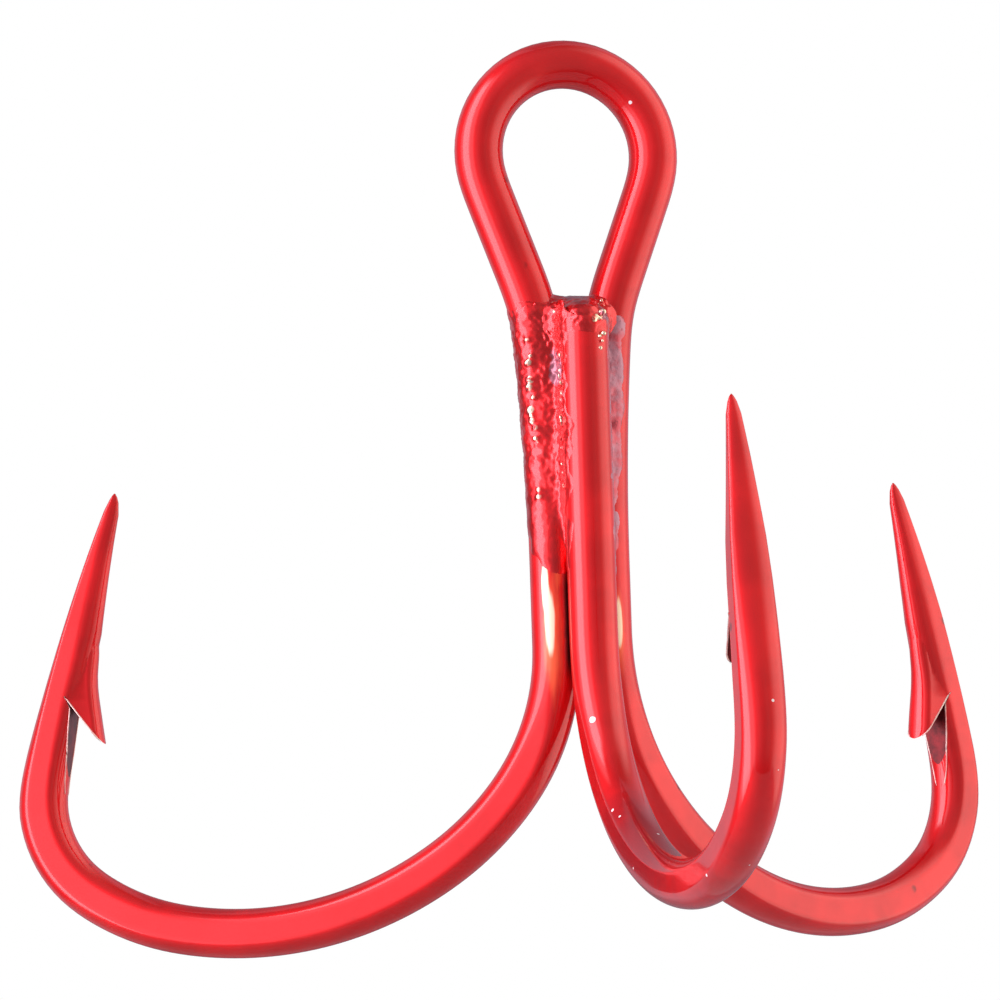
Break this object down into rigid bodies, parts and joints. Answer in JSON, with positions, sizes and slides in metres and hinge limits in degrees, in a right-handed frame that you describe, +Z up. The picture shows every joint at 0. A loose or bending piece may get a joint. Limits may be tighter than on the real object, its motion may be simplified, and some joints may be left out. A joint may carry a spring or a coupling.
{
  "type": "treble fishing hook",
  "caption": "Treble fishing hook with a teardrop wire eye, a brazed shank and wide round bends that end in barbed spear points, in red lacquer.",
  "frame": {"origin": "centre of the round part of the eye, where the hook hangs", "axes": "+Z up along the shank towards the eye, -Y towards the single hook, +X across the eye"},
  "size_m": [0.0467, 0.0413, 0.0411],
  "materials": {
    "lacquered_wire": "glossy translucent red lacquer over bright wire",
    "lacquered_braze": "red lacquer over rough braze, patchy and dull grey in places"
  },
  "bodies": {
    "root": {"double_hook": "lacquered_wire", "single_hook": "lacquered_wire", "braze_left": "lacquered_braze", "braze_right": "lacquered_braze", "braze_rear": "lacquered_braze", "braze_saddle": "lacquered_braze"}
  },
  "joints": []
}
